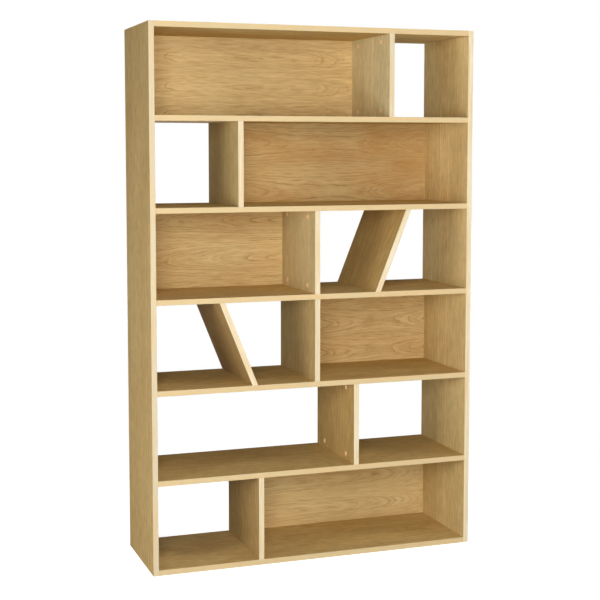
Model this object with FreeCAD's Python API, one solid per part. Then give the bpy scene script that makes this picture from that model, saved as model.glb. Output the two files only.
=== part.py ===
"""Zigzag bookshelf: an oak-veneered bookcase with six rows of open and backed bays.

Two full-height sides carry a top, a bottom and five shelves. An upright divider stands at its
own place in each row, two slanted dividers lean apart in the middle rows, and five bays have a
board across the back. The boards meet in butt joints held by cam locks, bolts and dowels.

Millimetres. The origin is on the floor at the middle of the footprint, +X is to the right seen
from the front, +Y is to the rear and +Z is up.
"""

import FreeCAD, Part
import math
import os
from collections import defaultdict, namedtuple

V = FreeCAD.Vector
X = V(1, 0, 0)
Y = V(0, 1, 0)
Z = V(0, 0, 1)
LEFT = -1
RIGHT = 1

# Overall sizes
overall_width = 1200.0
overall_depth = 380.0
overall_height = 1890.0
board = 19.0  # thickness of every board

rear_arris = 0.6  # chamfer that eases a board's rear edges

# Bands glued to the front edges of the boards
band_thickness = 2.0
band_round = 1.0  # radius along the band's two long front edges
round_limit = 0.9  # most of a wall that a rounding may take

# Clear width of the bay beside each divider that doesn't stand in the middle
row_1_right_bay = 291.0
row_2_left_bay = 291.0
row_5_right_bay = 422.0
row_6_left_bay = 362.0

# Slanted dividers
slant_angle = 21.8  # degrees from upright
slant_offset = 290.0  # from the middle of the bookcase to a slanted divider's half height

# Where the fittings sit in a joint
fitting_inset = 80.0  # from a joint's end to its first cam lock
dowel_step = 32.0  # from a cam lock to the dowel beside it

# Cam locks
cam_distance = 24.0  # from a board's end to the cam's axis
cam_bore_radius = 7.5
cam_fit = 0.1  # gap round the cam and below it
cam_floor = 0.9  # thickness of zinc under the bolt's head
chamber_room = 1.0  # from the bolt's head to the wall of the hollow that holds it
cam_turn = 120.0  # degrees from letting the bolt in to locked
recess_length = 7.0  # cross recess for the screwdriver
recess_width = 1.6
recess_depth = 3.0

# Bolts that the cams pull in
bolt_radius = 3.9
bolt_fit = 0.1
neck_radius = 2.2
neck_fit = 0.3
head_radius = 3.4
head_length = 2.6
head_fit = 0.2
head_chamfer = 0.5
thread_length = 11.0
thread_radius = 2.45
thread_point = 1.2  # length of the chamfer at its tip
thread_fit = 0.05
thread_room = 0.5  # depth of the hole past the thread's end

# Dowels
dowel_radius = 4.0
dowel_in_end = 20.0
dowel_in_face = 10.0
slant_dowel_radius = 3.0
slant_dowel_reach = 10.0  # into the slanted divider and into the shelf alike
dowel_fit = 0.05
dowel_room = 0.5  # depth of a hole past the dowel's end
dowel_chamfer = 1.0

# Cover caps on the dividers' cams
cap_radius = 8.5
cap_height = 1.5
cap_bevel = 0.9
plug_depth = 2.0  # cross under the cap, pressed into the cam's recess
plug_fit = 0.1

# Wall brackets
bracket_inset = 150.0  # from the bookcase's side to the bracket's middle
bracket_width = 20.0
bracket_leg = 40.0
bracket_rise = 22.0
bracket_steel = 2.0
bracket_bend = 1.5  # inside radius
bracket_corner = 4.0
wall_hole_height = 12.0
wall_hole_radius = 2.75

# Screws that hold the brackets
screws_per_bracket = 2
screw_spacing = 16.0
screw_end_distance = 9.0  # from the leg's front edge to the first screw
screw_radius = 1.75
screw_fit = 0.25  # in the bracket's hole
screw_pilot_fit = 0.05  # in the top panel
screw_length = 13.0
screw_point = 3.0
screw_head_radius = 3.6
screw_head_height = 2.2
screw_head_bevel = 0.9
screw_recess_length = 3.6
screw_recess_width = 0.9
screw_recess_depth = 1.3

# Planes and levels that follow from these
touch = 1e-6  # distance at which two places are the same
front = -overall_depth / 2
rear = overall_depth / 2
band_back = front + band_thickness
inner_half = overall_width / 2 - board
slant_lean = math.tan(math.radians(slant_angle))
head_room = head_radius + head_fit
chamber_radius = head_room + chamber_room
cam_length = board / 2 + head_room + cam_floor

# One row of bays, from the top down: where its divider stands, the side that the divider's cams
# open to, the bay with a back board and the bay with a slanted divider
Row = namedtuple("Row", "divider_x cam_side backed slanted")
rows = [
    Row(inner_half - row_1_right_bay - board / 2, LEFT, LEFT, None),
    Row(row_2_left_bay + board / 2 - inner_half, RIGHT, RIGHT, None),
    Row(0.0, LEFT, LEFT, RIGHT),
    Row(0.0, RIGHT, RIGHT, LEFT),
    Row(inner_half - row_5_right_bay - board / 2, LEFT, None, None),
    Row(row_6_left_bay + board / 2 - inner_half, RIGHT, RIGHT, None),
]
row_pitch = (overall_height - board) / len(rows)
sides = {LEFT: "left_side", RIGHT: "right_side"}
shelves = [f"shelf_{number}" for number in range(1, len(rows))]
levels = ["top_panel", *shelves, "bottom_panel"]

nodes = defaultdict(list)  # solids of each node
bores = defaultdict(list)  # what is drilled out of each board


def underside(level):
    """Height of a level board's lower face, counted from the top panel as level 0."""
    return (len(rows) - level) * row_pitch


def row_floor(index):
    return underside(index + 1) + board


def row_ceiling(index):
    return underside(index)


# Shapes in general


def rectangle(x0, x1, z0, z1):
    return [(x0, z0), (x1, z0), (x1, z1), (x0, z1)]


def prism(outline, y0, y1):
    """Solid with an outline in X and Z, from one depth to another."""
    corners = [V(x, y0, z) for x, z in outline]
    face = Part.Face(Part.makePolygon(corners + corners[:1]))
    return face.extrude(Y * (y1 - y0))


def rod(base, direction, radius, length):
    return Part.makeCylinder(radius, length, base, direction)


def turned(profile):
    """Solid of revolution about X, from the X and radius of each corner."""
    corners = [V(x, radius, 0) for x, radius in profile]
    face = Part.Face(Part.makePolygon(corners + corners[:1]))
    return face.revolve(V(), X, 360)


def cross(length, width, z0, z1):
    """Upright prism with the section of a plus sign."""
    bars = []
    for size_x, size_y in ((length, width), (width, length)):
        corner = V(-size_x / 2, -size_y / 2, z0)
        bars.append(Part.makeBox(size_x, size_y, z1 - z0, corner))
    return bars[0].fuse(bars[1]).removeSplitter()


def placed(shape, point, x_axis, z_axis):
    """Copy of a shape drawn at the origin, moved to a point and turned to two directions."""
    rotation = FreeCAD.Rotation(x_axis, z_axis.cross(x_axis), z_axis, "XZY")
    return shape.transformed(FreeCAD.Placement(point, rotation).toMatrix(), True)


def edges_where(shape, test):
    """Edges whose two ends pass a test on the pair of points."""
    found = []
    for edge in shape.Edges:
        ends = [vertex.Point for vertex in edge.Vertexes]
        if len(ends) == 2 and test(*ends):
            found.append(edge)
    return found


def near(a, b):
    return abs(a - b) < touch


# Fittings, each drawn once: X runs from the meeting plane into the butting board, Z points out of
# the face that the cam opens in, and the origin is half way through that board


def cam_bores():
    """Hole in the board's end for the bolt, and the blind hole in its face for the cam."""
    bolt_hole = rod(V(), X, bolt_radius + bolt_fit, cam_distance)
    cam_hole = rod(V(cam_distance, 0, board / 2), -Z, cam_bore_radius, cam_length + cam_fit)
    return bolt_hole.fuse(cam_hole)


def cam_lock():
    """Zinc drum with a chamber for the bolt's head and a slot round its wall for the neck."""
    radius = cam_bore_radius - cam_fit
    reach = cam_bore_radius + cam_fit
    slot = neck_radius + neck_fit
    drum = rod(V(0, 0, board / 2), -Z, radius, cam_length)
    chamber = rod(V(0, 0, -head_room), Z, chamber_radius, 2 * head_room)
    neck = rod(V(), -X, slot, reach)
    sweep = Part.makeCylinder(reach, 2 * slot, V(0, 0, -slot), Z, cam_turn)
    sweep.rotate(V(), Z, 180)
    way_in = rod(V(), -X, head_room, reach)
    way_in.rotate(V(), Z, cam_turn)
    recess = cross(recess_length, recess_width, board / 2 - recess_depth, board / 2)
    lock = drum.cut([chamber, neck, sweep, way_in, recess])
    lock.translate(X * cam_distance)
    return lock


def bolt_end(start):
    """Profile of a bolt's shank, neck and head, from a meeting plane at the given X."""
    shank_end = start + cam_distance - cam_bore_radius
    head_start = start + cam_distance - math.sqrt(chamber_radius**2 - head_room**2)
    head_end = head_start + head_length
    return [
        (shank_end, bolt_radius),
        (shank_end, neck_radius),
        (head_start, neck_radius),
        (head_start, head_radius),
        (head_end - head_chamfer, head_radius),
        (head_end, head_radius - head_chamfer),
        (head_end, 0),
    ]


def cam_bolt():
    """Steel bolt screwed into the face of the receiving board; its thread is drawn plain."""
    thread = [
        (-thread_length, 0),
        (-thread_length, thread_radius - thread_point),
        (-thread_length + thread_point, thread_radius),
        (0, thread_radius),
        (0, bolt_radius),
    ]
    return turned(thread + bolt_end(0))


def double_ended_bolt():
    """Bolt through a shelf, with a head for the divider above and one for the divider below."""
    upper = bolt_end(board / 2)
    lower = [(-x, radius) for x, radius in reversed(upper)]
    return turned(lower + upper)


def dowel(radius, in_face, in_end):
    return turned(
        [
            (-in_face, 0),
            (-in_face, radius - dowel_chamfer),
            (-in_face + dowel_chamfer, radius),
            (in_end - dowel_chamfer, radius),
            (in_end, radius - dowel_chamfer),
            (in_end, 0),
        ]
    )


def cover_cap():
    """Bevelled plastic disc with a cross under it; X points out of the board's face."""
    disc = turned(
        [
            (0, 0),
            (0, cap_radius),
            (cap_height - cap_bevel, cap_radius),
            (cap_height, cap_radius - cap_bevel),
            (cap_height, 0),
        ]
    )
    plug = cross(recess_length - 2 * plug_fit, recess_width - 2 * plug_fit, -plug_depth, 0)
    plug.rotate(V(), Y, 90)
    return disc.fuse(plug).removeSplitter()


def bracket_screw():
    """Pan-head screw with its axis on X, which points up out of the top panel."""
    head_top = bracket_steel + screw_head_height
    blank = turned(
        [
            (-screw_length, 0),
            (-screw_length + screw_point, screw_radius),
            (bracket_steel, screw_radius),
            (bracket_steel, screw_head_radius),
            (head_top - screw_head_bevel, screw_head_radius),
            (head_top, screw_head_radius - screw_head_bevel),
            (head_top, 0),
        ]
    )
    recess = cross(screw_recess_length, screw_recess_width, head_top - screw_recess_depth, head_top)
    recess.rotate(V(), Y, 90)
    return blank.cut(recess)


shapes = {
    "cam_bores": cam_bores(),
    "cam_lock": cam_lock(),
    "cam_bolt": cam_bolt(),
    "double_ended_bolt": double_ended_bolt(),
    "dowel": dowel(dowel_radius, dowel_in_face, dowel_in_end),
    "slant_dowel": dowel(slant_dowel_radius, slant_dowel_reach, slant_dowel_reach),
    "cover_cap": cover_cap(),
    "bracket_screw": bracket_screw(),
}

# Joints between boards


def cam_joint(butting, point, into, outward):
    bores[butting].append(placed(shapes["cam_bores"], point, into, outward))
    nodes["cam_locks"].append(placed(shapes["cam_lock"], point, into, outward))


def screwed_bolt(receiving, point, into, outward):
    hole_depth = thread_length + thread_room
    bores[receiving].append(rod(point, -into, thread_radius + thread_fit, hole_depth))
    nodes["cam_bolts"].append(placed(shapes["cam_bolt"], point, into, outward))


def through_bolt(shelf, point, outward):
    """Bolt that stands through a shelf, from a point on the shelf's lower face."""
    bores[shelf].append(rod(point, Z, bolt_radius + bolt_fit, board))
    middle = point + Z * (board / 2)
    nodes["double_ended_bolts"].append(placed(shapes["double_ended_bolt"], middle, Z, outward))


def dowel_joint(butting, receiving, point, into):
    hole = dowel_radius + dowel_fit
    bores[butting].append(rod(point, into, hole, dowel_in_end + dowel_room))
    bores[receiving].append(rod(point, -into, hole, dowel_in_face + dowel_room))
    nodes["dowels"].append(placed(shapes["dowel"], point, into, Y))


def slant_dowel_joint(slanted, shelf, point, into):
    hole = slant_dowel_radius + dowel_fit
    hole_depth = slant_dowel_reach + dowel_room
    bores[slanted].append(rod(point, into, hole, hole_depth))
    bores[shelf].append(rod(point, -into, hole, hole_depth))
    nodes["slant_dowels"].append(placed(shapes["slant_dowel"], point, into, Y))


def inset_from(low, high, inset):
    """The two places that lie an inset inside a stretch."""
    return (low + inset, high - inset)


# Boards


def long_edges(solid, y, along):
    """Edges in the given direction at one depth."""

    def lies_there(a, b):
        direction = (b - a).normalize()
        return near(a.y, y) and near(b.y, y) and near(abs(direction.dot(along)), 1)

    return edges_where(solid, lies_there)


def add_board(name, outline, along):
    """Full-depth board and its front edge band, with long edges in the given direction."""
    blank = prism(outline, band_back, rear)
    nodes[name].append(blank.makeChamfer(rear_arris, long_edges(blank, rear, along)))
    band = prism(outline, front, band_back)
    radius = min(band_round, round_limit * band_thickness, round_limit * board / 2)
    rounded = band.makeFillet(radius, long_edges(band, front, along))
    nodes[f"{name}_edge_band"].append(rounded)


def add_sides():
    for side, name in sides.items():
        x0, x1 = sorted((side * inner_half, side * (inner_half + board)))
        add_board(name, rectangle(x0, x1, 0, overall_height), Z)


def add_level(level, name):
    """Top, shelf or bottom, fixed to both sides by cams that open underneath."""
    z0 = underside(level)
    add_board(name, rectangle(-inner_half, inner_half, z0, z0 + board), X)
    for side, side_name in sides.items():
        into = X * -side
        end = X * (side * inner_half) + Z * (z0 + board / 2)
        for y in inset_from(front, rear, fitting_inset):
            cam_joint(name, end + Y * y, into, -Z)
            screwed_bolt(side_name, end + Y * y, into, -Z)
        for y in inset_from(front, rear, fitting_inset + dowel_step):
            dowel_joint(name, side_name, end + Y * y, into)


def add_divider(index, row):
    """Upright divider; two that stand on top of each other share their bolts, and the dowels at a
    foot lie a step further in, clear of those at the head of a divider below."""
    name = f"divider_row_{index + 1}"
    x = row.divider_x
    outward = X * row.cam_side
    outline = rectangle(x - board / 2, x + board / 2, row_floor(index), row_ceiling(index))
    add_board(name, outline, Z)
    shares_above = index > 0 and rows[index - 1].divider_x == x
    shares_below = index + 1 < len(rows) and rows[index + 1].divider_x == x
    ends = (
        (row_ceiling(index), -Z, levels[index], shares_above, fitting_inset + dowel_step),
        (row_floor(index), Z, levels[index + 1], shares_below, fitting_inset + 2 * dowel_step),
    )
    for z, into, level_name, shared, dowel_inset in ends:
        end = X * x + Z * z
        for y in inset_from(front, rear, fitting_inset):
            point = end + Y * y
            cam_joint(name, point, into, outward)
            if not shared:
                screwed_bolt(level_name, point, into, outward)
            elif shares_above:
                through_bolt(level_name, point, outward)
            cam_face = point + into * cam_distance + outward * (board / 2)
            nodes["cover_caps"].append(placed(shapes["cover_cap"], cam_face, outward, into))
        for y in inset_from(front, rear, dowel_inset):
            dowel_joint(name, level_name, end + Y * y, into)


def add_slanted_divider(index, row):
    """Divider that leans outwards at the top, cut level at both ends and held by dowels."""
    name = f"slanted_divider_row_{index + 1}"
    low = row_floor(index)
    high = row_ceiling(index)
    lean = row.slanted * slant_lean * (high - low) / 2
    half_width = board / 2 / math.cos(math.radians(slant_angle))
    foot = row.slanted * slant_offset - lean
    head = row.slanted * slant_offset + lean
    outline = [
        (foot - half_width, low),
        (foot + half_width, low),
        (head + half_width, high),
        (head - half_width, high),
    ]
    add_board(name, outline, V(head - foot, 0, high - low).normalize())
    for y in inset_from(front, rear, fitting_inset):
        slant_dowel_joint(name, levels[index], V(head, y, high), -Z)
        slant_dowel_joint(name, levels[index + 1], V(foot, y, low), Z)


def add_back_panel(index, row):
    """Board across the back of a bay, flush with the rear, with its cams on the rear face."""
    name = f"back_panel_row_{index + 1}"
    low = row_floor(index)
    high = row_ceiling(index)
    divider_face = row.divider_x + row.backed * board / 2
    x0, x1 = sorted((divider_face, row.backed * inner_half))
    blank = prism(rectangle(x0, x1, low, high), rear - board, rear)
    nodes[name].append(blank.makeChamfer(rear_arris, long_edges(blank, rear, X)))
    middle = rear - board / 2
    for z, into, level_name in ((high, -Z, levels[index]), (low, Z, levels[index + 1])):
        for x in inset_from(x0, x1, fitting_inset):
            cam_joint(name, V(x, middle, z), into, Y)
            screwed_bolt(level_name, V(x, middle, z), into, Y)
        for x in inset_from(x0, x1, fitting_inset + dowel_step):
            dowel_joint(name, level_name, V(x, middle, z), into)


def add_wall_bracket(side):
    """Bent steel bracket on the top panel, with its upstand flush with the rear."""
    x = side * (overall_width / 2 - bracket_inset)
    top = overall_height
    leg_front = rear - bracket_leg
    corners = [
        V(x - bracket_width / 2, leg_front, top),
        V(x - bracket_width / 2, rear, top),
        V(x - bracket_width / 2, rear, top + bracket_rise),
        V(x - bracket_width / 2, rear - bracket_steel, top + bracket_rise),
        V(x - bracket_width / 2, rear - bracket_steel, top + bracket_steel),
        V(x - bracket_width / 2, leg_front, top + bracket_steel),
    ]
    bent = Part.Face(Part.makePolygon(corners + corners[:1])).extrude(X * bracket_width)

    def crosses_at(y, z):
        return lambda a, b: all(near(p.y, y) and near(p.z, z) for p in (a, b))

    inside = edges_where(bent, crosses_at(rear - bracket_steel, top + bracket_steel))
    bent = bent.makeFillet(bracket_bend, inside)
    outside = edges_where(bent, crosses_at(rear, top))
    bent = bent.makeFillet(bracket_bend + bracket_steel, outside)

    def is_free_corner(a, b):
        on_leg = near(a.y, leg_front) and near(b.y, leg_front) and not near(a.z, b.z)
        on_rise = near(a.z, top + bracket_rise) and near(b.z, a.z) and not near(a.y, b.y)
        return on_leg or on_rise

    bent = bent.makeFillet(bracket_corner, edges_where(bent, is_free_corner))
    wall_hole = rod(V(x, rear, top + wall_hole_height), -Y, wall_hole_radius, bracket_steel)
    cuts = [wall_hole]
    for number in range(screws_per_bracket):
        seat = V(x, leg_front + screw_end_distance + number * screw_spacing, top)
        cuts.append(rod(seat, Z, screw_radius + screw_fit, bracket_steel))
        bores["top_panel"].append(rod(seat, -Z, screw_radius + screw_pilot_fit, screw_length))
        nodes["bracket_screws"].append(placed(shapes["bracket_screw"], seat, Z, Y))
    nodes[f"{sides[side].split('_')[0]}_wall_bracket"].append(bent.cut(cuts))


add_sides()
for level, level_name in enumerate(levels):
    add_level(level, level_name)
for index, row in enumerate(rows):
    add_divider(index, row)
    if row.slanted:
        add_slanted_divider(index, row)
    if row.backed:
        add_back_panel(index, row)
for side in sides:
    add_wall_bracket(side)
for name, cutters in bores.items():
    nodes[name] = [nodes[name][0].cut(cutters)]

os.makedirs("parts", exist_ok=True)
for name, solids in nodes.items():
    Part.makeCompound(solids).exportStep(f"parts/{name}.step")
    print(name, len(solids), all(solid.isValid() for solid in solids))
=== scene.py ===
"""Finishes the zigzag bookshelf: oak veneer, pale oak edging, caps and fittings, and a white studio."""

import math
from typing import NamedTuple

import bpy
from bpy.props import FloatProperty, FloatVectorProperty, PointerProperty
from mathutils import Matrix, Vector


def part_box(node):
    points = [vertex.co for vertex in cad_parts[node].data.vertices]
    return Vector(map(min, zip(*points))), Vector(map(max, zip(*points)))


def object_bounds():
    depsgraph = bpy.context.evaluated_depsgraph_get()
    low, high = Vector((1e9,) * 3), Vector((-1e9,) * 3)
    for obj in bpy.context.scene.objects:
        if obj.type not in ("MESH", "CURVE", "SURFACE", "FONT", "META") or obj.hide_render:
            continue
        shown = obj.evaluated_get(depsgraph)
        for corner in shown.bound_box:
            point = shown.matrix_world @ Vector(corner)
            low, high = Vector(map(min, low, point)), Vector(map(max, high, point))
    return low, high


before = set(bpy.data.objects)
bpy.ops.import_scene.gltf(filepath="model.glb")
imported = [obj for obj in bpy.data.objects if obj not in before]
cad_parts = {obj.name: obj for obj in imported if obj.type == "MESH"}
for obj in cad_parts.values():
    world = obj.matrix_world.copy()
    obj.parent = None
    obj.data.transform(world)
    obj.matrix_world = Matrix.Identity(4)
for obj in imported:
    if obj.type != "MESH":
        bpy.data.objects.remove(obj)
cad_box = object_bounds()

bl_info = {
    "name": "Zigzag Bookshelf",
    "version": (1, 0, 0),
    "blender": (4, 5, 0),
    "location": "3D View > Sidebar > Bookshelf",
    "description": "Gives a flat-pack oak bookshelf its veneers, edging and fittings",
    "category": "Material",
}

SIDES = ("left_side", "right_side")
LEVELS = ("top_panel", "shelf_1", "shelf_2", "shelf_3", "shelf_4", "shelf_5", "bottom_panel")
DIVIDERS = tuple(f"divider_row_{row}" for row in range(1, 7))
SLANTED_DIVIDERS = ("slanted_divider_row_3", "slanted_divider_row_4")
BANDED_BOARDS = SIDES + LEVELS + DIVIDERS + SLANTED_DIVIDERS

MILLIMETRE = 0.001
QUARTER_TURN = math.pi / 2
WHITE = (1.0, 1.0, 1.0)

# Sockets of a Mix node for colours, which has the same names again for other kinds of value
MIX_SHARE = 0
MIX_FROM = 6
MIX_TO = 7
MIXED = 2

# Turns that lay a board's grain along X and its width along Y
GRAIN_ALONG = (0.0, 0.0, 0.0)
GRAIN_UPRIGHT = (0.0, QUARTER_TURN, 0.0)
GRAIN_ALONG_BACK = (-QUARTER_TURN, 0.0, 0.0)

# Marks in the oak: length along the grain and width across it, in millimetres
WANDER_MARK = (333.33, 71.43)
RIPPLE_MARK = (45.45, 14.286)
BREAK_MARK = (55.56, 8.333)
STREAK_MARK = (76.92, 6.667)
CLOUD_MARK = (416.67, 181.82)
FLECK_MARK = (33.333, 58.82)
SWELL_LENGTH = 333.33

# How far the heart wanders, the log swells and the rings ripple, in millimetres
WANDER_BY = 22.0
SWELL_BY = 20.0
RIPPLE_BY = 6.0

# Shares of the dark wood's colour: bands of good and lean years, each year's line, and the mean
YEAR_BAND_SHARE = 0.45
YEAR_LINE_SHARE = 0.65
MEAN_DARK_SHARE = 0.35

# How fast a year's line fades outwards, and how strongly it comes and goes along the grain
YEAR_LINE_FADE = 2.5
YEAR_LINE_BREAKS = 1.8

# Share of the pores that lie in the years' lines, and share of the streaks that gather in clouds
PORES_IN_LINES = 0.6
STREAKS_IN_CLOUDS = 0.4

# How dark a pore is, how much duller, and how deep in millimetres
PORE_DARKNESS = 0.35
PORE_DULLNESS = 0.15
PORE_DEPTH = 0.15

# How much the tone differs between leaves and between flecks
LEAF_TONE_SPREAD = 0.05
FLECK_TONE_SPREAD = 0.06

# Steps between the random figures of leaves and boards
STREAK_LEAF_STEP = 7.0
BOARD_SEED_STEP = 3.7

# Sizes in millimetres: the caps' grain as drawn, and a fleck's length and width in the dowels
CAP_GRAIN = 0.4
BEECH_FLECK = (3.0, 0.6)

# The noise's middle, and how far to the rear the soft light from in front reaches
NOISE_MIDDLE = 0.5
FRONT_LIGHT_REACH = (-1.0, 0.15)

# The camera, fitted to the photo's edges; its frame lies 40 of 600 pixels lower than its axis
CAMERA_PLACE = (-1.5916, -4.4906, 1.4692)
CAMERA_DROP = math.radians(4.910)
CAMERA_SWING = math.radians(19.526)
CAMERA_SENSOR = 36.0
CAMERA_SHIFT = -40 / 600


class Leaf(NamedTuple):
    """How a board's veneer leaves lay in the log, in metres, and how the wood differs from the rest.

    The turn lays the grain along X, and the origin is the point over the log's heart. Aside and
    depth lead from the heart to a leaf's middle, and taper and bow change the depth along the leaf.
    Seed and change pick the random figures of the board and of each next leaf. Shade and fade hold
    the wood's own tone and also painted shade and light.
    """

    turn: tuple
    origin: tuple
    width: float
    aside: float = 0.0
    depth: float = 0.0
    taper: float = 0.0
    bow: float = 0.0
    seed: float = 0.0
    change: float = 0.0
    contrast: float = 1.0
    streaks: float = 0.22
    flecks: float = 0.0
    warmth: float = 0.5
    shade: float = 1.0
    fade: float = 0.0
    hue: float = 0.5
    richness: float = 1.0


class Lamp(NamedTuple):
    """A soft box, in metres. Without an aim it points at the middle of the bookshelf."""

    name: str
    place: tuple
    width: float
    height: float
    aim: tuple = None


# Crown-cut leaves of the back boards, with arches where the photo shows them
CROWNS = {
    "back_panel_row_1": dict(origin=(-0.15, 1.797), width=0.106, depth=0.010, bow=0.20, seed=1.0,
                             contrast=0.75, streaks=0.34, warmth=0.2, shade=1.03),
    "back_panel_row_2": dict(origin=(0.117, 1.487), width=0.183, depth=0.055, bow=-0.2, seed=2.3,
                             warmth=1.0, shade=0.95),
    "back_panel_row_3": dict(origin=(-0.02, 1.058), width=0.140, depth=0.004, taper=-0.09, seed=4.1,
                             streaks=0.16, shade=0.97),
    "back_panel_row_4": dict(origin=(0.377, 0.798), width=0.112, depth=0.045, bow=-0.45, seed=5.9),
    "back_panel_row_6": dict(origin=(-0.15, 0.187), width=0.112, depth=0.003, bow=0.10, seed=7.2,
                             contrast=0.8),
}

# Quarter-cut boards whose colour differs in shade, hue or depth of colour, or fades along the board.
# Part of it is the wood's own tone, and part is painted shade and light: the fades along the two
# sides stand for the light that grows or falls along their height.
LEVEL_TONE = dict(shade=0.93, richness=1.08)
BOARD_TONES_AND_PAINTED_SHADE = {
    **{name: LEVEL_TONE for name in LEVELS},
    "shelf_3": dict(richness=1.03),
    "left_side": dict(fade=-0.07, hue=0.498, richness=1.05),
    "right_side": dict(shade=0.95, fade=0.08, hue=0.505),
    # Painted shade in part: dividers that face an open bay are darker than those facing a backed bay
    "divider_row_1": dict(shade=1.02, hue=0.519, richness=0.80),
    "divider_row_2": dict(shade=0.82, hue=0.507),
    "divider_row_3": dict(shade=0.92, hue=0.509, richness=0.91),
    "divider_row_4": dict(shade=0.78, hue=0.503, richness=1.05),
    "divider_row_5": dict(shade=0.79, hue=0.497, richness=1.12),
    "divider_row_6": dict(shade=0.73, richness=1.06),
    # Painted shade: the slanted divider on row 4, whose face looks down, is darker than the one on row
    # 3
    "slanted_divider_row_3": dict(shade=0.77, hue=0.495, richness=1.14),
    "slanted_divider_row_4": dict(shade=0.64, hue=0.493, richness=1.10),
}

# Edging strips that are darker than the rest: partly the strips' own tone and partly painted shade,
# most on the left side's strip, which the lamp beside it lights more
EDGE_TONES_AND_PAINTED_SHADE = {
    "left_side": 0.78,
    "divider_row_1": 0.84,
    "divider_row_2": 0.92,
    "divider_row_3": 0.97,
    "divider_row_4": 0.89,
    "divider_row_6": 0.95,
}

# Soft boxes, each with a level of the same name among the studio's settings
LAMPS = (
    Lamp("key", (-1.71, -4.70, 1.85), width=1.6, height=1.6),
    Lamp("low", (-0.70, -4.95, 0.9), width=1.6, height=1.1),
    Lamp("high", (0.3, -1.9, 3.3), width=2.4, height=0.8),
    Lamp("left", (-3.0, -1.4, 1.0), width=1.2, height=0.8, aim=(-0.6, 0.0, 0.9)),
    Lamp("rear", (0.0, 7.0, 0.3), width=2.4, height=0.4),
    Lamp("right", (4.33, -2.50, 1.6), width=1.6, height=1.1),
    Lamp("above", (0.0, 0.0, 4.2), width=1.6, height=0.3, aim=(0.0, 0.0, 1.89)),
)


def linear(hex_colour):
    """Linear colour of an sRGB hex value."""
    shares = [int(hex_colour[i:i + 2], 16) / 255 for i in (0, 2, 4)]
    return tuple(s / 12.92 if s <= 0.04045 else ((s + 0.055) / 1.055) ** 2.4 for s in shares)


def colour(name, description, hex_colour):
    """A colour that a user can change."""
    return FloatVectorProperty(
        name=name, description=description, subtype="COLOR", min=0.0, max=1.0,
        default=linear(hex_colour))


def length(name, description, millimetres):
    """A length that a user can change."""
    return FloatProperty(
        name=name, description=description, unit="LENGTH", subtype="DISTANCE", min=0.00001,
        default=millimetres * MILLIMETRE)


def share(name, description, default):
    """A share from 0 to 1 that a user can change."""
    return FloatProperty(
        name=name, description=description, subtype="FACTOR", min=0.0, max=1.0, default=default)


class VeneerSettings(bpy.types.PropertyGroup):
    """Oak veneer on the boards."""

    pale: colour("Pale wood", "Wood grown late in the year", "E4CA92")
    dark: colour("Dark wood", "Wood grown early in the year", "B18E56")
    warm: colour("Warm wood", "Tint of the broad warmer patches", "C7995C")
    streak: colour("Streaks", "Short brown streaks along the grain", "94622E")
    pore: colour("Pores", "Open pores in the dark wood", "6E4A26")
    ring: length("Ring spacing", "Distance between growth rings", 4.5)
    quarter_leaf: length("Quarter leaf", "Width of a quarter-cut leaf", 95.0)
    pore_length: length("Pore length", "Length of a pore as drawn", 45.0)
    pore_width: length("Pore width", "Width of a pore as drawn", 2.2)
    roughness: share("Roughness", "Roughness of the matt lacquer", 0.8)


class EdgingSettings(bpy.types.PropertyGroup):
    """Solid oak edging on the front edges."""

    upright: colour("Upright edging", "Main colour of the sides' and dividers' edging", "E4DABC")
    level: colour("Level edging", "Main colour of the shelves' edging", "CEBA8F")
    streak: colour("Streaks", "Fine streaks along the edging", "D8B784")
    streak_length: length("Streak length", "Length of a streak as drawn", 160.0)
    streak_width: length("Streak width", "Width of a streak as drawn", 4.0)
    roughness: share("Roughness", "Roughness of the matt lacquer", 0.5)


class FittingSettings(bpy.types.PropertyGroup):
    """Caps, metal fittings and dowels."""

    cap: colour("Cap plastic", "Cover caps over the cam locks", "EFC58A")
    zinc: colour("Die-cast zinc", "Cam locks", "A3A3A5")
    steel: colour("Zinc-plated steel", "Bolts, screws and wall brackets", "C3C5C8")
    beech: colour("Beech", "Dowels", "D8B48C")
    beech_fleck: colour("Beech flecks", "Rays in the dowels", "A9764B")


class StudioSettings(bpy.types.PropertyGroup):
    """Floor, lamps and camera."""

    floor: colour("Floor", "Colour of the floor", "C8C8C8")
    floor_size: length("Floor size", "Side of the square floor", 30000.0)
    white_from: length("White from", "Distance at which the floor starts to fade to white", 800.0)
    white_at: length("White at", "Distance at which the floor is plain white", 2200.0)
    floor_lift: share("Floor lift", "Light added to the floor where it is seen directly", 0.88)
    front: share("Front", "Level of the soft light from in front", 0.04)
    behind: share("Behind", "Level of the soft light from behind", 0.02)
    key: share("Key", "Level of the soft box in front on the left", 0.53)
    low: share("Low", "Level of the low soft box in front", 0.17)
    high: share("High", "Level of the soft box high in front", 0.1)
    left: share("Left", "Level of the soft box beside the left side", 0.47)
    rear: share("Rear", "Level of the low soft box behind", 0.38)
    right: share("Right", "Level of the soft box in front on the right", 0.36)
    above: share("Above", "Level of the soft box over the top", 0.60)
    lens: length("Lens", "Focal length of the camera", 78.48)


def node_objects(names):
    """Objects of the named pieces."""
    missing = [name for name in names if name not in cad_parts]
    if missing:
        raise RuntimeError(f"the frame has no piece named {missing}")
    return [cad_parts[name] for name in names]


def dress(names, material):
    """Gives one material to the named pieces."""
    for obj in node_objects(names):
        obj.data.materials.clear()
        obj.data.materials.append(material)


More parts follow.
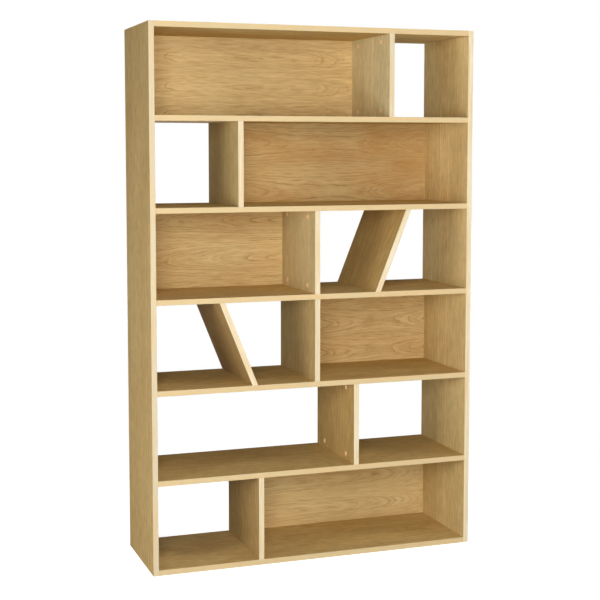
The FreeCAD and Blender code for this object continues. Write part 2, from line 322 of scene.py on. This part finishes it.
def add(tree, kind, inputs=None, **settings):
    """Adds a node, sets it and fills its inputs from values, sockets or the first output of nodes."""
    node = tree.nodes.new(kind)
    for name, value in settings.items():
        setattr(node, name, value)
    for key, value in (inputs or {}).items():
        if isinstance(value, bpy.types.Node):
            tree.links.new(value.outputs[0], node.inputs[key])
        elif isinstance(value, bpy.types.NodeSocket):
            tree.links.new(value, node.inputs[key])
        else:
            node.inputs[key].default_value = value
    return node


def blank_material(name):
    """A new material's node tree, with nothing in it."""
    material = bpy.data.materials.new(name)
    material.use_nodes = True
    material.node_tree.nodes.clear()
    return material, material.node_tree


def opaque(rgb):
    """A colour socket's value from a colour."""
    return (*rgb, 1.0)


def per_metre(millimetres):
    """Scale of a pattern whose marks have the given size."""
    return 1 / (millimetres * MILLIMETRE)


def mark_scale(mark, leaf_step=1.0):
    """Scale that draws marks of a length and a width, and other marks on each leaf."""
    along, across = mark
    return (per_metre(along), per_metre(across), leaf_step)


def oak_log_figure():
    """Node group that gives the wood at each point of veneer leaves sliced from a tapering log.

    Rings lie round the heart of the log. A leaf passes the heart at some depth, and taper and bow
    change that depth along the leaf, which draws nested arches over the heart and straight lines
    beside it. Leaves cut aside from the heart show the rings as straight stripes.
    """
    group = bpy.data.node_groups.new("oak_log_figure", "ShaderNodeTree")
    face = group.interface
    face.new_socket("Place", in_out="INPUT", socket_type="NodeSocketVector")
    for name in ("Leaf Width", "Aside", "Depth", "Taper", "Bow", "Seed", "Change", "Ring Spacing",
                 "Pore Length", "Pore Width"):
        face.new_socket(name, in_out="INPUT", socket_type="NodeSocketFloat")
    for name in ("Rings", "Pores", "Leaf Tone", "Cloud", "Streaks", "Flecks"):
        face.new_socket(name, in_out="OUTPUT", socket_type="NodeSocketFloat")
    given = add(group, "NodeGroupInput").outputs
    place = add(group, "ShaderNodeSeparateXYZ", {0: given["Place"]}).outputs
    along, across = place["X"], place["Y"]

    # Which leaf a point lies on, and how far from the middle of that leaf
    count = add(group, "ShaderNodeMath", {0: across, 1: given["Leaf Width"]}, operation="DIVIDE")
    leaf = add(group, "ShaderNodeMath", {0: count}, operation="ROUND")
    off_middle = add(group, "ShaderNodeMath", {0: count, 1: leaf}, operation="SUBTRACT")
    beside = add(group, "ShaderNodeMath", {0: off_middle, 1: given["Leaf Width"]},
                 operation="MULTIPLY")
    leaf_seed = add(group, "ShaderNodeMath", {0: leaf, 1: given["Change"], 2: given["Seed"]},
                    operation="MULTIPLY_ADD")
    leaf_place = add(group, "ShaderNodeCombineXYZ", {0: along, 1: beside, 2: leaf_seed})

    # The heart wanders sideways
    wander_scale = add(group, "ShaderNodeVectorMath", {0: leaf_place, 1: mark_scale(WANDER_MARK)},
                       operation="MULTIPLY")
    wander = add(group, "ShaderNodeTexNoise", {"Vector": wander_scale, "Scale": 1.0, "Detail": 2.0})
    sideways = add(group, "ShaderNodeMath", {0: wander, 1: NOISE_MIDDLE}, operation="SUBTRACT")
    from_line = add(group, "ShaderNodeMath", {0: beside, 1: given["Aside"]}, operation="ADD")
    beside_heart = add(group, "ShaderNodeMath",
                       {0: sideways, 1: WANDER_BY * MILLIMETRE, 2: from_line},
                       operation="MULTIPLY_ADD")

    # The log tapers, bows, swells and shrinks, which changes the leaf's depth
    swell_place = add(group, "ShaderNodeCombineXYZ", {0: along, 1: leaf_seed})
    swell_noise = add(group, "ShaderNodeTexNoise",
                      {"Vector": swell_place, "Scale": per_metre(SWELL_LENGTH), "Detail": 2.0},
                      noise_dimensions="2D")
    swell = add(group, "ShaderNodeMath", {0: swell_noise, 1: NOISE_MIDDLE}, operation="SUBTRACT")
    bowed = add(group, "ShaderNodeMath", {0: along, 1: given["Bow"], 2: given["Taper"]},
                operation="MULTIPLY_ADD")
    leaning = add(group, "ShaderNodeMath", {0: along, 1: bowed, 2: given["Depth"]},
                  operation="MULTIPLY_ADD")
    depth = add(group, "ShaderNodeMath", {0: swell, 1: SWELL_BY * MILLIMETRE, 2: leaning},
                operation="MULTIPLY_ADD")

    # The rings count from the heart, shaken by ripples
    ripple_scale = add(group, "ShaderNodeVectorMath", {0: leaf_place, 1: mark_scale(RIPPLE_MARK)},
                       operation="MULTIPLY")
    ripple_noise = add(group, "ShaderNodeTexNoise",
                       {"Vector": ripple_scale, "Scale": 1.0, "Detail": 2.0})
    ripple = add(group, "ShaderNodeMath", {0: ripple_noise, 1: NOISE_MIDDLE}, operation="SUBTRACT")
    from_heart = add(group, "ShaderNodeCombineXYZ", {0: beside_heart, 1: depth})
    distance = add(group, "ShaderNodeVectorMath", {0: from_heart}, operation="LENGTH")
    radius = add(group, "ShaderNodeMath",
                 {0: ripple, 1: RIPPLE_BY * MILLIMETRE, 2: distance.outputs["Value"]},
                 operation="MULTIPLY_ADD")
    rings = add(group, "ShaderNodeMath", {0: radius, 1: given["Ring Spacing"]}, operation="DIVIDE")

    # Broad bands of good and lean years, and each year's dark line that fades outwards
    seeded = add(group, "ShaderNodeMath", {0: rings, 1: leaf_seed}, operation="ADD")
    years = add(group, "ShaderNodeTexNoise",
                {"W": seeded, "Scale": 0.5, "Detail": 3.0, "Roughness": 0.62}, noise_dimensions="1D")
    banded = add(group, "ShaderNodeMapRange",
                 {"Value": years, "From Min": 0.3, "From Max": 0.7, "To Max": YEAR_BAND_SHARE})
    within = add(group, "ShaderNodeMath", {0: rings}, operation="FRACT")
    fading = add(group, "ShaderNodeMath", {0: 1.0, 1: within}, operation="SUBTRACT")
    line = add(group, "ShaderNodeMath", {0: fading, 1: YEAR_LINE_FADE}, operation="POWER")
    year = add(group, "ShaderNodeMath", {0: rings}, operation="FLOOR")
    strength = add(group, "ShaderNodeTexWhiteNoise", {"W": year}, noise_dimensions="1D")
    even_line = add(group, "ShaderNodeMath", {0: line, 1: strength.outputs["Value"]},
                    operation="MULTIPLY")
    break_place = add(group, "ShaderNodeCombineXYZ", {0: along, 1: radius, 2: leaf_seed})
    break_scale = add(group, "ShaderNodeVectorMath", {0: break_place, 1: mark_scale(BREAK_MARK)},
                      operation="MULTIPLY")
    break_noise = add(group, "ShaderNodeTexNoise",
                      {"Vector": break_scale, "Scale": 1.0, "Detail": 2.0})
    breaks = add(group, "ShaderNodeMapRange",
                 {"Value": break_noise, "From Min": 0.38, "From Max": 0.62,
                  "To Max": YEAR_LINE_BREAKS})
    drawn_line = add(group, "ShaderNodeMath", {0: even_line, 1: breaks}, operation="MULTIPLY")
    ringed = add(group, "ShaderNodeMath", {0: drawn_line, 1: YEAR_LINE_SHARE, 2: banded},
                 operation="MULTIPLY_ADD")

    # Pores are short dashes along the grain, most of them in the dark lines
    pore_along = add(group, "ShaderNodeMath", {0: along, 1: given["Pore Length"]}, operation="DIVIDE")
    pore_across = add(group, "ShaderNodeMath", {0: beside_heart, 1: given["Pore Width"]},
                      operation="DIVIDE")
    pore_place = add(group, "ShaderNodeCombineXYZ", {0: pore_along, 1: pore_across, 2: leaf_seed})
    pore_noise = add(group, "ShaderNodeTexNoise",
                     {"Vector": pore_place, "Scale": 1.0, "Detail": 1.0})
    pore_spots = add(group, "ShaderNodeMapRange",
                     {"Value": pore_noise, "From Min": 0.52, "From Max": 0.72})
    pore_share = add(group, "ShaderNodeMath", {0: line, 1: PORES_IN_LINES, 2: 1 - PORES_IN_LINES},
                     operation="MULTIPLY_ADD")
    pores = add(group, "ShaderNodeMath", {0: pore_spots, 1: pore_share}, operation="MULTIPLY")

    # Each leaf has its own tone, and short streaks along the grain gather in broad clouds
    tone_seed = add(group, "ShaderNodeMath", {0: leaf, 1: given["Seed"]}, operation="ADD")
    leaf_tone = add(group, "ShaderNodeTexWhiteNoise", {"W": tone_seed}, noise_dimensions="1D")
    streak_place = add(group, "ShaderNodeCombineXYZ", {0: along, 1: beside_heart, 2: tone_seed})
    streak_scale = add(group, "ShaderNodeVectorMath",
                       {0: streak_place, 1: mark_scale(STREAK_MARK, STREAK_LEAF_STEP)},
                       operation="MULTIPLY")
    fine_streaks = add(group, "ShaderNodeTexNoise",
                       {"Vector": streak_scale, "Scale": 1.0, "Detail": 2.0, "Roughness": 0.55})
    cloud_place = add(group, "ShaderNodeCombineXYZ", {0: along, 1: across, 2: given["Seed"]})
    cloud_scale = add(group, "ShaderNodeVectorMath", {0: cloud_place, 1: mark_scale(CLOUD_MARK)},
                      operation="MULTIPLY")
    cloud = add(group, "ShaderNodeTexNoise", {"Vector": cloud_scale, "Scale": 1.0, "Detail": 2.0})
    streaks = add(group, "ShaderNodeMath", {0: cloud, 1: STREAKS_IN_CLOUDS, 2: fine_streaks},
                  operation="MULTIPLY_ADD")

    # Wood rays cut along their length shine as flecks across the grain
    fleck_scale = add(group, "ShaderNodeVectorMath", {0: leaf_place, 1: mark_scale(FLECK_MARK)},
                      operation="MULTIPLY")
    flecks = add(group, "ShaderNodeTexNoise",
                 {"Vector": fleck_scale, "Scale": 1.0, "Detail": 3.0, "Roughness": 0.6})
    add(group, "NodeGroupOutput",
        {"Rings": ringed, "Pores": pores, "Leaf Tone": leaf_tone.outputs["Value"], "Cloud": cloud,
         "Streaks": streaks, "Flecks": flecks})
    return group


def oak_veneer(name, leaf, settings):
    """Sliced European oak veneer, sanded and coated with matt lacquer.

    The eye gets straw-brown wood with darker rings, short brown streaks and pores along the grain,
    a slow change of tone, and hardly any sheen. Real pores are 0.3 mm wide and too fine to show, so
    they are drawn wider and longer.
    """
    material, tree = blank_material(name)
    place = add(tree, "ShaderNodeTexCoord").outputs["Object"]
    along, across = leaf.origin
    turned = add(tree, "ShaderNodeMapping",
                 {"Vector": place, "Rotation": leaf.turn, "Location": (-along, -across, 0.0)})
    group = bpy.data.node_groups.get("oak_log_figure") or oak_log_figure()
    figure = add(
        tree, "ShaderNodeGroup",
        {"Place": turned, "Leaf Width": leaf.width, "Aside": leaf.aside, "Depth": leaf.depth,
         "Taper": leaf.taper, "Bow": leaf.bow, "Seed": leaf.seed, "Change": leaf.change,
         "Ring Spacing": settings.ring, "Pore Length": settings.pore_length,
         "Pore Width": settings.pore_width},
        node_tree=group).outputs

    # Pale and dark wood, with warmer patches, streaks and pores over it
    ring_share = add(tree, "ShaderNodeMath",
                     {0: figure["Rings"], 1: leaf.contrast, 2: MEAN_DARK_SHARE * (1 - leaf.contrast)},
                     operation="MULTIPLY_ADD")
    wood = add(tree, "ShaderNodeMix",
               {MIX_SHARE: ring_share, MIX_FROM: opaque(settings.pale),
                MIX_TO: opaque(settings.dark)}, data_type="RGBA")
    warm_share = add(tree, "ShaderNodeMapRange",
                     {"Value": figure["Cloud"], "From Min": 0.35, "From Max": 0.75,
                      "To Max": leaf.warmth})
    warmed = add(tree, "ShaderNodeMix",
                 {MIX_SHARE: warm_share, MIX_FROM: wood.outputs[MIXED],
                  MIX_TO: opaque(settings.warm)}, data_type="RGBA")
    streak_share = add(tree, "ShaderNodeMapRange",
                       {"Value": figure["Streaks"], "From Min": 0.62, "From Max": 0.92,
                        "To Max": leaf.streaks})
    streaked = add(tree, "ShaderNodeMix",
                   {MIX_SHARE: streak_share, MIX_FROM: warmed.outputs[MIXED],
                    MIX_TO: opaque(settings.streak)}, data_type="RGBA")
    pore_share = add(tree, "ShaderNodeMath", {0: figure["Pores"], 1: PORE_DARKNESS * leaf.contrast},
                     operation="MULTIPLY")
    pored = add(tree, "ShaderNodeMix",
                {MIX_SHARE: pore_share, MIX_FROM: streaked.outputs[MIXED],
                 MIX_TO: opaque(settings.pore)}, data_type="RGBA")

    # The tone of the leaf and of its flecks, and the board's shade and fade along its length, which
    # also hold painted shade and light
    leaf_tone = add(tree, "ShaderNodeMapRange",
                    {"Value": figure["Leaf Tone"], "To Min": leaf.shade * (1 - LEAF_TONE_SPREAD),
                     "To Max": leaf.shade * (1 + LEAF_TONE_SPREAD)})
    fleck_spread = FLECK_TONE_SPREAD * leaf.flecks
    fleck_tone = add(tree, "ShaderNodeMapRange",
                     {"Value": figure["Flecks"], "From Min": 0.3, "From Max": 0.7,
                      "To Min": 1 - fleck_spread, "To Max": 1 + fleck_spread})
    length_along = add(tree, "ShaderNodeSeparateXYZ", {0: turned}).outputs["X"]
    painted_light_along = add(tree, "ShaderNodeMath", {0: length_along, 1: leaf.fade, 2: 1.0},
                operation="MULTIPLY_ADD")
    flecked = add(tree, "ShaderNodeMath", {0: leaf_tone, 1: fleck_tone}, operation="MULTIPLY")
    tone = add(tree, "ShaderNodeMath", {0: flecked, 1: painted_light_along}, operation="MULTIPLY")
    toned = add(tree, "ShaderNodeHueSaturation",
                {"Color": pored.outputs[MIXED], "Hue": leaf.hue, "Saturation": leaf.richness,
                 "Value": tone})

    # Lacquer that is so matt that it hardly shines, and duller in the pores' hollows
    dull = add(tree, "ShaderNodeMapRange",
               {"Value": figure["Pores"], "To Min": settings.roughness,
                "To Max": settings.roughness + PORE_DULLNESS})
    hollow = add(tree, "ShaderNodeMath", {0: 1.0, 1: figure["Pores"]}, operation="SUBTRACT")
    bump = add(tree, "ShaderNodeBump",
               {"Height": hollow, "Strength": 0.35, "Distance": PORE_DEPTH * MILLIMETRE})
    shader = add(tree, "ShaderNodeBsdfPrincipled",
                 {"Base Color": toned, "Roughness": dull, "Normal": bump, "IOR": 1.5,
                  "Specular IOR Level": 0.02})
    add(tree, "ShaderNodeOutputMaterial", {"Surface": shader})
    return material


def oak_edging(name, turn, seed, pale, settings):
    """Strip of solid oak, flat sanded and coated with matt lacquer.

    The eye gets an even pale strip with faint streaks along it, paler than the veneer.
    """
    material, tree = blank_material(name)
    place = add(tree, "ShaderNodeTexCoord").outputs["Object"]
    turned = add(tree, "ShaderNodeMapping",
                 {"Vector": place, "Rotation": turn, "Location": (0.0, 0.0, seed)})
    along = 1 / settings.streak_length
    across = 1 / settings.streak_width
    stretched = add(tree, "ShaderNodeVectorMath", {0: turned, 1: (along, across, across)},
                    operation="MULTIPLY")
    streaks = add(tree, "ShaderNodeTexNoise",
                  {"Vector": stretched, "Scale": 1.0, "Detail": 3.0, "Roughness": 0.6})
    streak_share = add(tree, "ShaderNodeMapRange",
                       {"Value": streaks, "From Min": 0.35, "From Max": 0.75})
    wood = add(tree, "ShaderNodeMix",
               {MIX_SHARE: streak_share, MIX_FROM: opaque(pale), MIX_TO: opaque(settings.streak)},
               data_type="RGBA")
    height = add(tree, "ShaderNodeMath", {0: 1.0, 1: streaks}, operation="SUBTRACT")
    bump = add(tree, "ShaderNodeBump",
               {"Height": height, "Strength": 0.2, "Distance": 0.1 * MILLIMETRE})
    dull = add(tree, "ShaderNodeMapRange",
               {"Value": streaks, "To Min": settings.roughness - 0.05,
                "To Max": settings.roughness + 0.1})
    shader = add(tree, "ShaderNodeBsdfPrincipled",
                 {"Base Color": wood.outputs[MIXED], "Roughness": dull, "Normal": bump, "IOR": 1.5,
                  "Specular IOR Level": 0.12})
    add(tree, "ShaderNodeOutputMaterial", {"Surface": shader})
    return material


def moulded_plastic(settings):
    """Polyethylene caps, injection moulded in a spark-eroded mould.

    The eye gets an even light brown with a fine dull grain. The real grain is 0.1 mm, too fine to
    show, and is drawn coarser.
    """
    material, tree = blank_material("moulded_polyethylene")
    place = add(tree, "ShaderNodeTexCoord").outputs["Object"]
    grain = add(tree, "ShaderNodeTexNoise",
                {"Vector": place, "Scale": per_metre(CAP_GRAIN), "Detail": 2.0})
    shade = add(tree, "ShaderNodeMapRange", {"Value": grain, "To Min": 0.92, "To Max": 1.06})
    tinted = add(tree, "ShaderNodeHueSaturation", {"Color": opaque(settings.cap), "Value": shade})
    bump = add(tree, "ShaderNodeBump",
               {"Height": grain, "Strength": 0.3, "Distance": 0.05 * MILLIMETRE})
    shader = add(tree, "ShaderNodeBsdfPrincipled",
                 {"Base Color": tinted, "Roughness": 0.45, "Normal": bump, "IOR": 1.51})
    add(tree, "ShaderNodeOutputMaterial", {"Surface": shader})
    return material


def metal(name, rgb, roughness, patch_millimetres):
    """A metal surface with patches that are a little duller than the rest."""
    material, tree = blank_material(name)
    place = add(tree, "ShaderNodeTexCoord").outputs["Object"]
    patches = add(tree, "ShaderNodeTexNoise",
                  {"Vector": place, "Scale": per_metre(patch_millimetres), "Detail": 3.0})
    dull = add(tree, "ShaderNodeMapRange",
               {"Value": patches, "To Min": roughness - 0.1, "To Max": roughness + 0.15})
    shade = add(tree, "ShaderNodeMapRange", {"Value": patches, "To Min": 0.85, "To Max": 1.1})
    tinted = add(tree, "ShaderNodeHueSaturation", {"Color": opaque(rgb), "Value": shade})
    shader = add(tree, "ShaderNodeBsdfPrincipled",
                 {"Base Color": tinted, "Metallic": 1.0, "Roughness": dull})
    add(tree, "ShaderNodeOutputMaterial", {"Surface": shader})
    return material


def turned_beech(settings):
    """Beech rod, turned and fluted, left raw.

    The eye gets pinkish pale wood with short dark flecks.
    """
    material, tree = blank_material("turned_beech")
    place = add(tree, "ShaderNodeTexCoord").outputs["Object"]
    along, across = (per_metre(side) for side in BEECH_FLECK)
    stretched = add(tree, "ShaderNodeVectorMath", {0: place, 1: (along, across, across)},
                    operation="MULTIPLY")
    flecks = add(tree, "ShaderNodeTexNoise", {"Vector": stretched, "Scale": 1.0, "Detail": 1.0})
    fleck_share = add(tree, "ShaderNodeMapRange",
                      {"Value": flecks, "From Min": 0.58, "From Max": 0.7, "To Max": 0.8})
    wood = add(tree, "ShaderNodeMix",
               {MIX_SHARE: fleck_share, MIX_FROM: opaque(settings.beech),
                MIX_TO: opaque(settings.beech_fleck)}, data_type="RGBA")
    shader = add(tree, "ShaderNodeBsdfPrincipled",
                 {"Base Color": wood.outputs[MIXED], "Roughness": 0.7, "IOR": 1.5})
    add(tree, "ShaderNodeOutputMaterial", {"Surface": shader})
    return material


def lean(name):
    """Turn that lays a slanted board's grain along X, from the board's box."""
    low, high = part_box(name)
    board_low, board_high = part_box("divider_row_3")
    sideways = (high.x - low.x) - (board_high.x - board_low.x)
    rises_right = name == "slanted_divider_row_3"
    angle = math.atan2(sideways, high.z - low.z)
    return (0.0, QUARTER_TURN - angle if rises_right else QUARTER_TURN + angle, 0.0)


def grain_turn(name):
    """Turn that lays any banded board's grain along X."""
    if name in SLANTED_DIVIDERS:
        return lean(name)
    return GRAIN_ALONG if name in LEVELS else GRAIN_UPRIGHT


def quarter_cut(context, names, first_seed, contrast):
    """Veneers boards with quarter-cut leaves, whose rings are near-straight stripes."""
    settings = context.scene.bookshelf_veneer
    for number, name in enumerate(names):
        leaf = Leaf(grain_turn(name), origin=(0.0, 0.0), width=settings.quarter_leaf, aside=0.2,
                    taper=0.03, seed=first_seed + BOARD_SEED_STEP * number, change=5.3,
                    contrast=contrast, streaks=0.28, flecks=1.0, warmth=0.15,
                    **BOARD_TONES_AND_PAINTED_SHADE.get(name, {}))
        dress([name], oak_veneer(f"quarter_cut_oak_{name}", leaf, settings))


class BookshelfOperator:
    """What the bookshelf's operators share."""

    bl_options = {"REGISTER", "UNDO"}


class BOOKSHELF_OT_sides(BookshelfOperator, bpy.types.Operator):
    """Veneer the two sides with upright grain"""

    bl_idname = "bookshelf.sides"
    bl_label = "Sides"

    def execute(self, context):
        quarter_cut(context, SIDES, first_seed=10.0, contrast=0.8)
        return {"FINISHED"}


class BOOKSHELF_OT_levels(BookshelfOperator, bpy.types.Operator):
    """Veneer the top, the shelves and the bottom with grain along them"""

    bl_idname = "bookshelf.levels"
    bl_label = "Top, shelves and bottom"

    def execute(self, context):
        quarter_cut(context, LEVELS, first_seed=30.0, contrast=0.9)
        return {"FINISHED"}


class BOOKSHELF_OT_dividers(BookshelfOperator, bpy.types.Operator):
    """Veneer the upright and slanted dividers with grain along them"""

    bl_idname = "bookshelf.dividers"
    bl_label = "Dividers"

    def execute(self, context):
        quarter_cut(context, DIVIDERS + SLANTED_DIVIDERS, first_seed=70.0, contrast=0.6)
        return {"FINISHED"}


class BOOKSHELF_OT_backs(BookshelfOperator, bpy.types.Operator):
    """Veneer the back boards with crown-cut leaves that lie on their side"""

    bl_idname = "bookshelf.backs"
    bl_label = "Back boards"

    def execute(self, context):
        settings = context.scene.bookshelf_veneer
        for name, crown in CROWNS.items():
            leaf = Leaf(GRAIN_ALONG_BACK, change=0.08, **crown)
            dress([name], oak_veneer(f"crown_cut_oak_{name}", leaf, settings))
        return {"FINISHED"}


class BOOKSHELF_OT_edging(BookshelfOperator, bpy.types.Operator):
    """Finish the edging on the front edges"""

    bl_idname = "bookshelf.edging"
    bl_label = "Edging"

    def execute(self, context):
        settings = context.scene.bookshelf_edging
        for number, name in enumerate(BANDED_BOARDS):
            strip = settings.level if name in LEVELS else settings.upright
            pale = [channel * EDGE_TONES_AND_PAINTED_SHADE.get(name, 1.0) for channel in strip]
            material = oak_edging(f"solid_oak_edging_{name}", grain_turn(name), float(number), pale,
                                  settings)
            dress([f"{name}_edge_band"], material)
        return {"FINISHED"}


class BOOKSHELF_OT_caps(BookshelfOperator, bpy.types.Operator):
    """Finish the cover caps on the dividers"""

    bl_idname = "bookshelf.caps"
    bl_label = "Cover caps"

    def execute(self, context):
        dress(["cover_caps"], moulded_plastic(context.scene.bookshelf_fittings))
        return {"FINISHED"}


class BOOKSHELF_OT_cam_locks(BookshelfOperator, bpy.types.Operator):
    """Finish the cam locks"""

    bl_idname = "bookshelf.cam_locks"
    bl_label = "Cam locks"

    def execute(self, context):
        # Die-cast zinc, tumbled: a dull grey with soft patches from the mould
        rgb = context.scene.bookshelf_fittings.zinc
        zinc = metal("tumbled_die_cast_zinc", rgb, roughness=0.5, patch_millimetres=3.0)
        dress(["cam_locks"], zinc)
        return {"FINISHED"}


class BOOKSHELF_OT_steel_fittings(BookshelfOperator, bpy.types.Operator):
    """Finish the bolts, the screws and the wall brackets"""

    bl_idname = "bookshelf.steel_fittings"
    bl_label = "Bolts, screws and wall brackets"

    def execute(self, context):
        # Bright zinc plating on steel: a clear silver grey with faint clouds
        rgb = context.scene.bookshelf_fittings.steel
        steel = metal("bright_zinc_plated_steel", rgb, roughness=0.32, patch_millimetres=6.0)
        names = ["cam_bolts", "double_ended_bolts", "bracket_screws", "left_wall_bracket",
                 "right_wall_bracket"]
        dress(names, steel)
        return {"FINISHED"}


class BOOKSHELF_OT_dowels(BookshelfOperator, bpy.types.Operator):
    """Finish the dowels"""

    bl_idname = "bookshelf.dowels"
    bl_label = "Dowels"

    def execute(self, context):
        dress(["dowels", "slant_dowels"], turned_beech(context.scene.bookshelf_fittings))
        return {"FINISHED"}


def seen_directly(tree):
    """Factor that is 1 where the camera, a mirror or glass looks at a surface, and 0 for its light."""
    path = add(tree, "ShaderNodeLightPath").outputs
    seen = add(tree, "ShaderNodeMath",
               {0: path["Is Camera Ray"], 1: path["Is Glossy Ray"]}, operation="MAXIMUM")
    return add(tree, "ShaderNodeMath", {0: seen, 1: path["Is Transmission Ray"]},
               operation="MAXIMUM")


def pale_floor(settings):
    """Matt pale grey paper.

    The eye gets a floor that looks near white, keeps the bookshelf's shadow and fades to plain
    white away from it. Its own grey throws less light back under the shelves than white would.
    """
    material, tree = blank_material("matt_pale_grey_paper")
    place = add(tree, "ShaderNodeTexCoord").outputs["Object"]
    distance = add(tree, "ShaderNodeVectorMath", {0: place}, operation="LENGTH").outputs["Value"]
    far = add(tree, "ShaderNodeMapRange",
              {"Value": distance, "From Min": settings.white_from, "From Max": settings.white_at},
              interpolation_type="SMOOTHSTEP")
    seen = seen_directly(tree)
    paper = add(tree, "ShaderNodeBsdfDiffuse", {"Color": opaque(settings.floor)})
    lift = add(tree, "ShaderNodeMath", {0: seen, 1: settings.floor_lift}, operation="MULTIPLY")
    lifting = add(tree, "ShaderNodeEmission", {"Strength": lift})
    near_floor = add(tree, "ShaderNodeAddShader", {0: paper, 1: lifting})
    plain_white = add(tree, "ShaderNodeEmission", {"Strength": 1.0})
    plain_share = add(tree, "ShaderNodeMath", {0: far, 1: seen}, operation="MULTIPLY")
    surface = add(tree, "ShaderNodeMixShader", {0: plain_share, 1: near_floor, 2: plain_white})
    add(tree, "ShaderNodeOutputMaterial", {"Surface": surface})
    return material


def soft_box(lamp, middle, level):
    """Area lamp that lights a face turned to it at its aim with the given level of white."""
    light = bpy.data.lights.new(lamp.name, "AREA")
    light.shape = "RECTANGLE"
    light.size = lamp.width
    light.size_y = lamp.height
    towards = Vector(lamp.aim or middle) - Vector(lamp.place)
    light.energy = level * (math.pi * towards.length) ** 2
    obj = bpy.data.objects.new(lamp.name, light)
    obj.location = lamp.place
    obj.rotation_mode = "QUATERNION"
    obj.rotation_quaternion = towards.to_track_quat("-Z", "Y")
    bpy.context.scene.collection.objects.link(obj)


def studio_world(settings):
    """Soft light that is stronger from in front, and plain white where it is seen directly."""
    world = bpy.data.worlds.new("studio")
    world.use_nodes = True
    tree = world.node_tree
    tree.nodes.clear()
    direction = add(tree, "ShaderNodeTexCoord").outputs["Generated"]
    rearward = add(tree, "ShaderNodeSeparateXYZ", {0: direction}).outputs["Y"]
    nearest, furthest = FRONT_LIGHT_REACH
    level = add(tree, "ShaderNodeMapRange",
                {"Value": rearward, "From Min": nearest, "From Max": furthest,
                 "To Min": settings.front, "To Max": settings.behind})
    soft = add(tree, "ShaderNodeBackground", {"Color": opaque(WHITE), "Strength": level})
    white = add(tree, "ShaderNodeBackground", {"Color": opaque(WHITE)})
    surface = add(tree, "ShaderNodeMixShader", {0: seen_directly(tree), 1: soft, 2: white})
    add(tree, "ShaderNodeOutputWorld", {"Surface": surface})
    bpy.context.scene.world = world


class BOOKSHELF_OT_stage(BookshelfOperator, bpy.types.Operator):
    """Make the pale floor, the lamps, the world and the camera"""

    bl_idname = "bookshelf.stage"
    bl_label = "Stage"

    def execute(self, context):
        settings = context.scene.bookshelf_studio
        scene = context.scene
        scene.view_settings.view_transform = "Standard"
        half = settings.floor_size / 2
        mesh = bpy.data.meshes.new("floor")
        corners = [(-half, -half, 0), (half, -half, 0), (half, half, 0), (-half, half, 0)]
        mesh.from_pydata(corners, [], [(0, 1, 2, 3)])
        mesh.materials.append(pale_floor(settings))
        floor = bpy.data.objects.new("floor", mesh)
        scene.collection.objects.link(floor)
        middle = (Vector(cad_box[0]) + Vector(cad_box[1])) / 2
        for lamp in LAMPS:
            soft_box(lamp, middle, getattr(settings, lamp.name))
        studio_world(settings)
        camera = bpy.data.cameras.new("camera")
        camera.sensor_width = CAMERA_SENSOR
        camera.lens = settings.lens / MILLIMETRE
        camera.shift_y = CAMERA_SHIFT
        obj = bpy.data.objects.new("camera", camera)
        obj.location = CAMERA_PLACE
        obj.rotation_euler = (QUARTER_TURN - CAMERA_DROP, 0.0, -CAMERA_SWING)
        scene.collection.objects.link(obj)
        scene.camera = obj
        return {"FINISHED"}


OPERATORS = (
    BOOKSHELF_OT_sides,
    BOOKSHELF_OT_levels,
    BOOKSHELF_OT_dividers,
    BOOKSHELF_OT_backs,
    BOOKSHELF_OT_edging,
    BOOKSHELF_OT_caps,
    BOOKSHELF_OT_cam_locks,
    BOOKSHELF_OT_steel_fittings,
    BOOKSHELF_OT_dowels,
    BOOKSHELF_OT_stage,
)

SETTINGS = {
    "bookshelf_veneer": VeneerSettings,
    "bookshelf_edging": EdgingSettings,
    "bookshelf_fittings": FittingSettings,
    "bookshelf_studio": StudioSettings,
}


class BOOKSHELF_PT_finishes(bpy.types.Panel):
    """Sizes, colours and steps of the bookshelf's finish"""

    bl_idname = "BOOKSHELF_PT_finishes"
    bl_label = "Bookshelf"
    bl_space_type = "VIEW_3D"
    bl_region_type = "UI"
    bl_category = "Bookshelf"

    def draw(self, context):
        for operator in OPERATORS:
            self.layout.operator(operator.bl_idname)
        for attribute, group in SETTINGS.items():
            box = self.layout.box()
            box.label(text=group.__doc__)
            for name in group.__annotations__:
                box.prop(getattr(context.scene, attribute), name)


CLASSES = (*SETTINGS.values(), *OPERATORS, BOOKSHELF_PT_finishes)


def register():
    """Adds the settings, the operators and the panel."""
    for cls in CLASSES:
        bpy.utils.register_class(cls)
    for attribute, group in SETTINGS.items():
        setattr(bpy.types.Scene, attribute, PointerProperty(type=group))


def unregister():
    """Removes what register adds."""
    for attribute in SETTINGS:
        delattr(bpy.types.Scene, attribute)
    for cls in reversed(CLASSES):
        bpy.utils.unregister_class(cls)


def main():
    """Finishes the bookshelf."""
    register()
    for operator in OPERATORS:
        group, name = operator.bl_idname.split(".")
        getattr(getattr(bpy.ops, group), name)()


if __name__ == "__main__":
    main()
